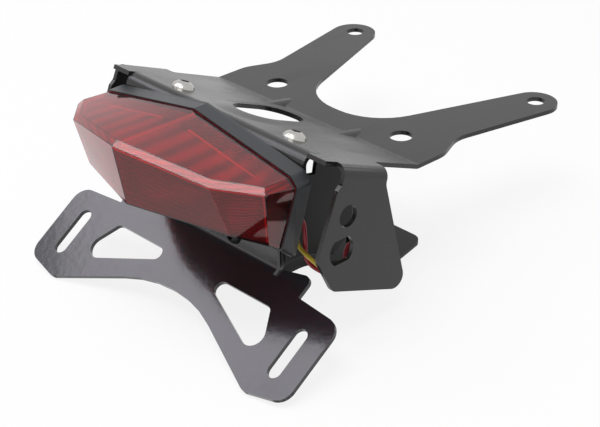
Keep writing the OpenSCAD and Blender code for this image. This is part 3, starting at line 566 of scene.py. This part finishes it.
def bars_tree():
    """Geometry Nodes tree: bars from points of one line to points of another."""
    found = bpy.data.node_groups.get("bars_between_lines")
    if found:
        return found
    tree = bpy.data.node_groups.new("bars_between_lines", "GeometryNodeTree")
    open_socket(tree, "Geometry", "NodeSocketGeometry", output=True)
    open_socket(tree, "Geometry", "NodeSocketGeometry")
    open_socket(tree, "Count", "NodeSocketInt", 10)
    for name in ("First start", "First end", "Second start", "Second end"):
        open_socket(tree, name, "NodeSocketVector")
    open_socket(tree, "Width", "NodeSocketFloat", 0.0005)
    open_socket(tree, "Finish", "NodeSocketMaterial")
    new = tree.nodes.new
    links = tree.links
    entry = new("NodeGroupInput")
    leave = new("NodeGroupOutput")
    line = new("GeometryNodeMeshLine")
    line.mode = "END_POINTS"
    links.new(entry.outputs["Count"], line.inputs["Count"])
    links.new(entry.outputs["First start"], line.inputs["Start Location"])
    links.new(entry.outputs["First end"], line.inputs["Offset"])
    index = new("GeometryNodeInputIndex")
    last = new("ShaderNodeMath")
    last.operation = "SUBTRACT"
    last.inputs[1].default_value = 1
    links.new(entry.outputs["Count"], last.inputs[0])
    share = new("ShaderNodeMath")
    share.operation = "DIVIDE"
    links.new(index.outputs["Index"], share.inputs[0])
    links.new(last.outputs["Value"], share.inputs[1])
    span = new("ShaderNodeVectorMath")
    span.operation = "SUBTRACT"
    links.new(entry.outputs["Second end"], span.inputs[0])
    links.new(entry.outputs["Second start"], span.inputs[1])
    along = new("ShaderNodeVectorMath")
    along.operation = "SCALE"
    links.new(span.outputs["Vector"], along.inputs[0])
    links.new(share.outputs["Value"], along.inputs["Scale"])
    target = new("ShaderNodeVectorMath")
    target.operation = "ADD"
    links.new(along.outputs["Vector"], target.inputs[0])
    links.new(entry.outputs["Second start"], target.inputs[1])
    start = new("GeometryNodeInputPosition")
    reach = new("ShaderNodeVectorMath")
    reach.operation = "SUBTRACT"
    links.new(target.outputs["Vector"], reach.inputs[0])
    links.new(start.outputs["Position"], reach.inputs[1])
    length = new("ShaderNodeVectorMath")
    length.operation = "LENGTH"
    links.new(reach.outputs["Vector"], length.inputs[0])
    turn = new("FunctionNodeAlignRotationToVector")
    turn.axis = "X"
    links.new(reach.outputs["Vector"], turn.inputs["Vector"])
    size = new("ShaderNodeCombineXYZ")
    links.new(length.outputs["Value"], size.inputs["X"])
    links.new(entry.outputs["Width"], size.inputs["Y"])
    links.new(entry.outputs["Width"], size.inputs["Z"])
    block = new("GeometryNodeMeshCube")
    block.inputs["Size"].default_value = (1, 1, 1)
    shift = new("GeometryNodeTransform")
    shift.inputs["Translation"].default_value = (0.5, 0, 0)
    links.new(block.outputs["Mesh"], shift.inputs["Geometry"])
    copies = new("GeometryNodeInstanceOnPoints")
    links.new(line.outputs["Mesh"], copies.inputs["Points"])
    links.new(shift.outputs["Geometry"], copies.inputs["Instance"])
    links.new(turn.outputs["Rotation"], copies.inputs["Rotation"])
    links.new(size.outputs["Vector"], copies.inputs["Scale"])
    real = new("GeometryNodeRealizeInstances")
    links.new(copies.outputs["Instances"], real.inputs["Geometry"])
    coat = new("GeometryNodeSetMaterial")
    links.new(real.outputs["Geometry"], coat.inputs["Geometry"])
    links.new(entry.outputs["Finish"], coat.inputs["Material"])
    links.new(coat.outputs["Geometry"], leave.inputs["Geometry"])
    return tree


def bars(name, rows, width, material):
    """One mesh of bars; each row gives a count and its four guide points."""
    tree = bars_tree()
    keys = {}
    for item in tree.interface.items_tree:
        if item.item_type == "SOCKET" and item.in_out == "INPUT":
            keys[item.name] = item.identifier
    joined = bmesh.new()
    for count, first_start, first_end, second_start, second_end in rows:
        carrier = add_object(name + "_carrier", bpy.data.meshes.new(name + "_carrier"))
        modifier = carrier.modifiers.new("bars", "NODES")
        modifier.node_group = tree
        modifier[keys["Count"]] = count
        modifier[keys["First start"]] = first_start
        modifier[keys["First end"]] = first_end
        modifier[keys["Second start"]] = second_start
        modifier[keys["Second end"]] = second_end
        modifier[keys["Width"]] = width
        modifier[keys["Finish"]] = material
        carrier.update_tag()
        bpy.context.view_layer.update()
        depsgraph = bpy.context.evaluated_depsgraph_get()
        made = bpy.data.meshes.new_from_object(carrier.evaluated_get(depsgraph))
        joined.from_mesh(made)
        bpy.data.objects.remove(carrier)
        bpy.data.meshes.remove(made)
    mesh = bpy.data.meshes.new(name)
    joined.to_mesh(mesh)
    joined.free()
    mesh.materials.append(material)
    piece = add_object(name, mesh)
    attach(piece, "root")
    return piece


# Operators

class TIDY_OT_camera(bpy.types.Operator):
    """Sets up the camera at the photograph's viewing angle"""
    bl_idname = "tail_tidy.camera"
    bl_label = "Camera"

    def execute(self, context):
        studio = context.scene.tidy_studio
        a = studio.azimuth
        e = studio.elevation
        back = Vector((math.sin(a) * math.cos(e), -math.cos(a) * math.cos(e), math.sin(e)))
        level = Vector((math.cos(a), math.sin(a), 0))
        rise = back.cross(level)
        right = level * math.cos(studio.roll) + rise * math.sin(studio.roll)
        up = back.cross(right)
        camera = add_object("camera", bpy.data.cameras.new("camera"))
        camera.data.lens = studio.lens
        camera.data.sensor_width = 36
        camera.data.clip_start = 0.02
        camera.data.clip_end = 50
        turn = Matrix((right, up, back)).transposed().to_4x4()
        camera.matrix_world = Matrix.Translation(CAMERA_PLACE) @ turn
        context.scene.camera = camera
        return {"FINISHED"}


class TIDY_OT_wires(bpy.types.Operator):
    """Lays the light's two wires from the gland to the connector"""
    bl_idname = "tail_tidy.wires"
    bl_label = "Wires"

    def execute(self, context):
        wires = context.scene.tidy_wires
        for node, slot, route, colour in (
                ("wire_yellow", "yellow_wire", YELLOW_ROUTE, wires.first_colour),
                ("wire_red", "red_wire", RED_ROUTE, wires.second_colour)):
            points = smooth_route(route)
            curve = bpy.data.curves.new(node + "_cord", "CURVE")
            curve.dimensions = "3D"
            spline = curve.splines.new("POLY")
            spline.points.add(len(points) - 1)
            for i, point in enumerate(points):
                spline.points[i].co = (*point, 1)
            curve.bevel_depth = wires.diameter / 2
            curve.bevel_resolution = 3
            curve.use_fill_caps = True
            spline.use_smooth = True
            curve.materials.append(finish(
                node, tuple(colour), 0.32, grain=1400, ripple=300, depth=0.00001,
                plain=(("Specular IOR Level", 0.5),)))
            piece = add_object(node + "_cord", curve)
            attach(piece, "root")
            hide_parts(node)
        return {"FINISHED"}


class TIDY_OT_brackets(bpy.types.Operator):
    """Rounds the edges of the three folded brackets and coats them"""
    bl_idname = "tail_tidy.brackets"
    bl_label = "Brackets"

    def execute(self, context):
        coats = context.scene.tidy_coats
        satin = finish(
            "satin_powder_coat", tuple(coats.satin_colour), 0.26, spread=0.05, grain=1500,
            ripple=260, share=0.4, depth=0.000012, marks=0.10,
            plain=(("Specular IOR Level", 0.46),))
        # the light bracket and its folded sides, under the tray, get half the satin coat's colour and less
        # sheen: painted shade
        shade = finish(
            "painted_shade_powder_coat", tuple(c * 0.5 for c in coats.satin_colour), 0.42, spread=0.05,
            grain=1500, ripple=260, share=0.4, depth=0.000012,
            plain=(("Specular IOR Level", 0.22),))
        gloss = finish(
            "gloss_powder_coat", tuple(coats.gloss_colour), 0.16, spread=0.03, grain=900,
            ripple=260, share=0.8, depth=0.00007, marks=0.05,
            plain=(("Coat Weight", 0.25), ("Coat Roughness", 0.06), ("Specular IOR Level", 0.5)))
        radius = coats.edge_radius
        rounded_piece("main_bracket", "main_bracket_coated", satin, radius)
        rounded_piece("light_bracket", "light_bracket_coated", shade, radius)
        rounded_piece("plate_bracket", "plate_bracket_coated", gloss, radius)
        folded_sides(shade, radius)
        return {"FINISHED"}


class TIDY_OT_light(bpy.types.Operator):
    """Finishes the light's housing and makes its clear red lens"""
    bl_idname = "tail_tidy.light"
    bl_label = "Tail light"

    def execute(self, context):
        coats = context.scene.tidy_coats
        light = context.scene.tidy_light
        plastic = finish(
            "satin_black_plastic", tuple(coats.plastic_colour), 0.38, spread=0.04, grain=1800,
            ripple=500, share=0.3, depth=0.000012)
        rounded_piece(
            "light_housing", "light_housing_moulded", plastic, HOUSING_EDGE)
        clear = finish(
            "clear_red_lens", tuple(light.lens_colour), 0.05, spread=0.02, grain=300,
            ripple=90, share=0.8, depth=0.000006,
            plain=(("Transmission Weight", 1.0), ("IOR", 1.49), ("Specular IOR Level", 0.35)))
        mesh = lens_shell("light_lens_clear", 0)
        mesh.materials.append(clear)
        lens = add_object("light_lens_clear", mesh)
        wall = lens.modifiers.new("wall", "SOLIDIFY")
        wall.thickness = LENS_WALL
        wall.offset = -1
        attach(lens, "root")
        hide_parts("light_lens")
        soft = finish("black_rubber", (0.02, 0.02, 0.02), 0.55, grain=1200, depth=0.00002)
        board = finish("circuit_board", (0.02, 0.14, 0.06), 0.4, grain=700, depth=0.00002)
        diode = finish("diode_body", (0.55, 0.10, 0.08), 0.15, grain=500, depth=0.000004)
        bright = finish("bright_plastic", (0.8, 0.8, 0.82), 0.2, grain=800, depth=0.000006,
                        plain=(("Metallic", 1.0),))
        paint("light_seal", soft)
        paint("wire_gland", soft)
        paint("light_board", board)
        paint("light_leds", diode)
        paint("light_reflector", bright)
        return {"FINISHED"}


class TIDY_OT_optics(bpy.types.Operator):
    """Makes the ribbed red optic that shows through the lens"""
    bl_idname = "tail_tidy.optics"
    bl_label = "Lens optics"

    def execute(self, context):
        light = context.scene.tidy_light
        colour = tuple(light.optic_colour)
        # the optic's colour runs dark and bright with its ridges: painted shade and highlight
        optic = ridged("red_optic", tuple(c * 0.3 for c in colour),
                       tuple(min(1, c * 1.3) for c in colour), 200, 0.3)
        rib_red = finish("red_rib", tuple(c * 0.7 for c in colour), 0.25, spread=0.08, grain=420,
                         ripple=70, share=0.6, depth=0.00002)
        dark_end = finish("dark_optic_end", (0.05, 0.03, 0.032), 0.3, grain=500, depth=0.00002)
        # the edge bars glow faintly red: painted highlight, not a lamp
        line = finish("painted_highlight_red_edge", (0.9, 0.05, 0.05), 0.2, grain=420, depth=0.00001,
                      plain=(("Emission Color", (1, 0.02, 0.03, 1)), ("Emission Strength", 0.1)))
        # the optic's shell, open at the back
        inset = 2.4
        mesh = lens_shell("lens_optic", inset)
        mesh.materials.append(optic)
        mesh.materials.append(dark_end)
        # the optic's faces that point sideways take the near-black colour
        for face in mesh.polygons:
            face.material_index = 1 if abs(face.normal.x) > END_FACING else 0
        shell = add_object("lens_optic", mesh)
        thick = shell.modifiers.new("wall", "SOLIDIFY")
        thick.thickness = OPTIC_WALL
        thick.offset = -1
        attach(shell, "root")
        # ribs of the band along the rim, and level ridges in the front facets
        rib = 1.8
        first = 3.0
        last = 54.0
        rear = 10.2
        rows = []
        for side in (1, -1):
            rows.append((light.top_ribs,
                         under_band(side, first, rear, rib), under_band(side, last, rear, rib),
                         under_band(side, first, BAND_FRONT, rib),
                         under_band(side, last, BAND_FRONT, rib)))
        ribs = bars("lens_top_ribs", rows, light.rib_width, rib_red)
        rows = []
        for side in (1, -1):
            for left, right in ((("nose", "chin"), ("bend_lower", "bend_foot")),
                                (("bend_lower", "bend_foot"), ("end_lower", "end_foot"))):
                rows.append((light.front_lines,
                             lens_point(left[0], rib, side), lens_point(left[1], rib, side),
                             lens_point(right[0], rib, side), lens_point(right[1], rib, side)))
        ridges = bars("lens_front_lines", rows, light.rib_width * 0.6, rib_red)
        # glowing bars along the optic's edges: painted highlight
        near = 1.6
        inner = 8.4
        outer = 56
        front = BAND_FRONT + 0.5
        rows = []
        for side in (1, -1):
            rows.append((2,
                         under_band(side, inner, BAND_FRONT, near),
                         under_band(side, inner, front, near),
                         under_band(side, outer, BAND_FRONT, near),
                         under_band(side, outer, front, near)))
            for a, b in (("nose", "bend_lower"), ("bend_lower", "end_lower"),
                         ("end_lower", "end_foot"), ("rim_top", "ridge_top")):
                rows.append((2, lens_point(a, near, side), lens_point(a, near + 0.6, side),
                             lens_point(b, near, side), lens_point(b, near + 0.6, side)))
        edges = bars("lens_painted_highlight_lines", rows, light.rib_width * 0.8, line)
        return {"FINISHED"}


class TIDY_OT_fittings(bpy.types.Operator):
    """Finishes the screws, washers, nuts, studs and the connector"""
    bl_idname = "tail_tidy.fittings"
    bl_label = "Fittings"

    def execute(self, context):
        stainless = finish("stainless", (0.46, 0.45, 0.42), 0.22, spread=0.06, grain=2400,
                           ripple=600, share=0.3, depth=0.000012, marks=0.05,
                           plain=(("Metallic", 1.0),))
        zinc = finish("zinc_plate", (0.55, 0.56, 0.58), 0.34, spread=0.06, grain=1600,
                      depth=0.000015, plain=(("Metallic", 1.0),))
        black = finish("black_oxide", (0.02, 0.02, 0.02), 0.35, grain=1800, depth=0.000012,
                       plain=(("Metallic", 0.5),))
        body = finish("connector_black", (0.02, 0.02, 0.022), 0.4, grain=1500, depth=0.00001)
        cap = finish("connector_seal", (0.015, 0.015, 0.015), 0.55, grain=1200, depth=0.00002)
        pin = finish("pin_brass", (0.75, 0.52, 0.2), 0.28, grain=1500, depth=0.000006,
                     plain=(("Metallic", 1.0),))
        paint("tray_screws", stainless)
        for name in ("light_studs", "stud_washers", "stud_nuts", "tray_washers", "tray_nuts",
                     "stem_washers", "stem_nuts"):
            paint(name, zinc)
        paint("stem_screws", black)
        paint("connector_body", body)
        paint("connector_cap", cap)
        paint("connector_pins", pin)
        return {"FINISHED"}


class TIDY_OT_studio(bpy.types.Operator):
    """Sets the part on a plain pale floor under soft studio light"""
    bl_idname = "tail_tidy.studio"
    bl_label = "Studio"

    def execute(self, context):
        studio = context.scene.tidy_studio
        # the floor touches the plate's lower edge and the shelf's front edge
        rear = min((v.co for v in nodes["plate_bracket"].data.vertices), key=lambda c: c.z)
        shelf = nodes["light_bracket"].data.vertices
        low = min(v.co.z for v in shelf)
        front = max((v.co for v in shelf if v.co.z < low + LEVEL_TOLERANCE), key=lambda c: c.y)
        slope = (front.z - rear.z) / (front.y - rear.y)
        lift = rear.z - FLOOR_DROP
        corners = [(x, y, lift + slope * (y - rear.y)) for x, y in (
            (-FLOOR_HALF, -FLOOR_HALF), (FLOOR_HALF, -FLOOR_HALF),
            (FLOOR_HALF, FLOOR_HALF), (-FLOOR_HALF, FLOOR_HALF))]
        mesh = bpy.data.meshes.new("floor")
        mesh.from_pydata(corners, [], [(0, 1, 2, 3)])
        floor = add_object("floor", mesh)
        material = bpy.data.materials.new("pale_floor")
        material.use_nodes = True
        tree = material.node_tree
        tree.nodes.clear()
        matt = tree.nodes.new("ShaderNodeBsdfDiffuse")
        matt.inputs["Color"].default_value = (*studio.floor_colour, 1)
        white = tree.nodes.new("ShaderNodeEmission")
        share = tree.nodes.new("ShaderNodeMath")
        share.operation = "MULTIPLY"
        share.inputs[1].default_value = FLOOR_GLOW
        mix = tree.nodes.new("ShaderNodeMixShader")
        leave = tree.nodes.new("ShaderNodeOutputMaterial")
        tree.links.new(seen_directly(tree), share.inputs[0])
        tree.links.new(share.outputs["Value"], mix.inputs["Fac"])
        tree.links.new(matt.outputs["BSDF"], mix.inputs[1])
        tree.links.new(white.outputs["Emission"], mix.inputs[2])
        tree.links.new(mix.outputs["Shader"], leave.inputs["Surface"])
        mesh.materials.append(material)

        world = bpy.data.worlds.new("studio")
        context.scene.world = world
        world.use_nodes = True
        tree = world.node_tree
        backdrop = tree.nodes["Background"]
        backdrop.inputs["Color"].default_value = (0.98, 0.98, 1, 1)
        strength = tree.nodes.new("ShaderNodeMapRange")
        strength.inputs["To Min"].default_value = WORLD_GLOW
        strength.inputs["To Max"].default_value = 1.0
        tree.links.new(seen_directly(tree), strength.inputs["Value"])
        tree.links.new(strength.outputs["Result"], backdrop.inputs["Strength"])

        middle = Vector((0, -0.08, 0))
        for name, direction, distance, width, depth, power, tone in (
                ("softbox", (0.02, -0.25, 0.95), 1.0, 0.75, 0.46, studio.softbox_power,
                 (1, 0.98, 0.97)),
                ("side_fill", (-0.64, -0.24, 0.73), 1.1, 0.5, 0.5, 2.6, (0.93, 0.9, 1))):
            lamp = bpy.data.lights.new(name, "AREA")
            lamp.shape = "RECTANGLE"
            lamp.size = width
            lamp.size_y = depth
            lamp.energy = power
            lamp.color = tone
            away = Vector(direction).normalized()
            holder = add_object(name, lamp)
            holder.location = middle + away * distance
            holder.rotation_mode = "QUATERNION"
            holder.rotation_quaternion = away.to_track_quat("Z", "Y")
        context.scene.view_settings.view_transform = "Standard"
        return {"FINISHED"}


class TIDY_PT_panel(bpy.types.Panel):
    """The tail tidy's pieces and settings"""
    bl_idname = "TIDY_PT_panel"
    bl_label = "Tail tidy"
    bl_space_type = "VIEW_3D"
    bl_region_type = "UI"
    bl_category = "Tail tidy"

    def draw(self, context):
        layout = self.layout
        for settings in ("tidy_coats", "tidy_light", "tidy_wires", "tidy_studio"):
            box = layout.box()
            group = getattr(context.scene, settings)
            for key in group.__annotations__:
                box.prop(group, key)
        for operator in OPERATORS:
            layout.operator(operator.bl_idname)


OPERATORS = (TIDY_OT_camera, TIDY_OT_wires, TIDY_OT_brackets, TIDY_OT_light, TIDY_OT_optics,
             TIDY_OT_fittings, TIDY_OT_studio)
SETTINGS = {"tidy_coats": CoatSettings, "tidy_light": LightSettings,
            "tidy_wires": WireSettings, "tidy_studio": StudioSettings}


def register():
    """Registers the settings, the operators and the panel."""
    for name, group in SETTINGS.items():
        bpy.utils.register_class(group)
        setattr(bpy.types.Scene, name, PointerProperty(type=group))
    for operator in OPERATORS:
        bpy.utils.register_class(operator)
    bpy.utils.register_class(TIDY_PT_panel)


def unregister():
    """Unregisters the panel, the operators and the settings."""
    bpy.utils.unregister_class(TIDY_PT_panel)
    for operator in reversed(OPERATORS):
        bpy.utils.unregister_class(operator)
    for name, group in SETTINGS.items():
        delattr(bpy.types.Scene, name)
        bpy.utils.unregister_class(group)


def main():
    """Makes every piece and the studio."""
    register()
    bpy.ops.tail_tidy.camera()
    bpy.ops.tail_tidy.wires()
    bpy.ops.tail_tidy.brackets()
    bpy.ops.tail_tidy.light()
    bpy.ops.tail_tidy.optics()
    bpy.ops.tail_tidy.fittings()
    bpy.ops.tail_tidy.studio()
    bpy.context.view_layer.update()


if __name__ == "__main__":
    main()
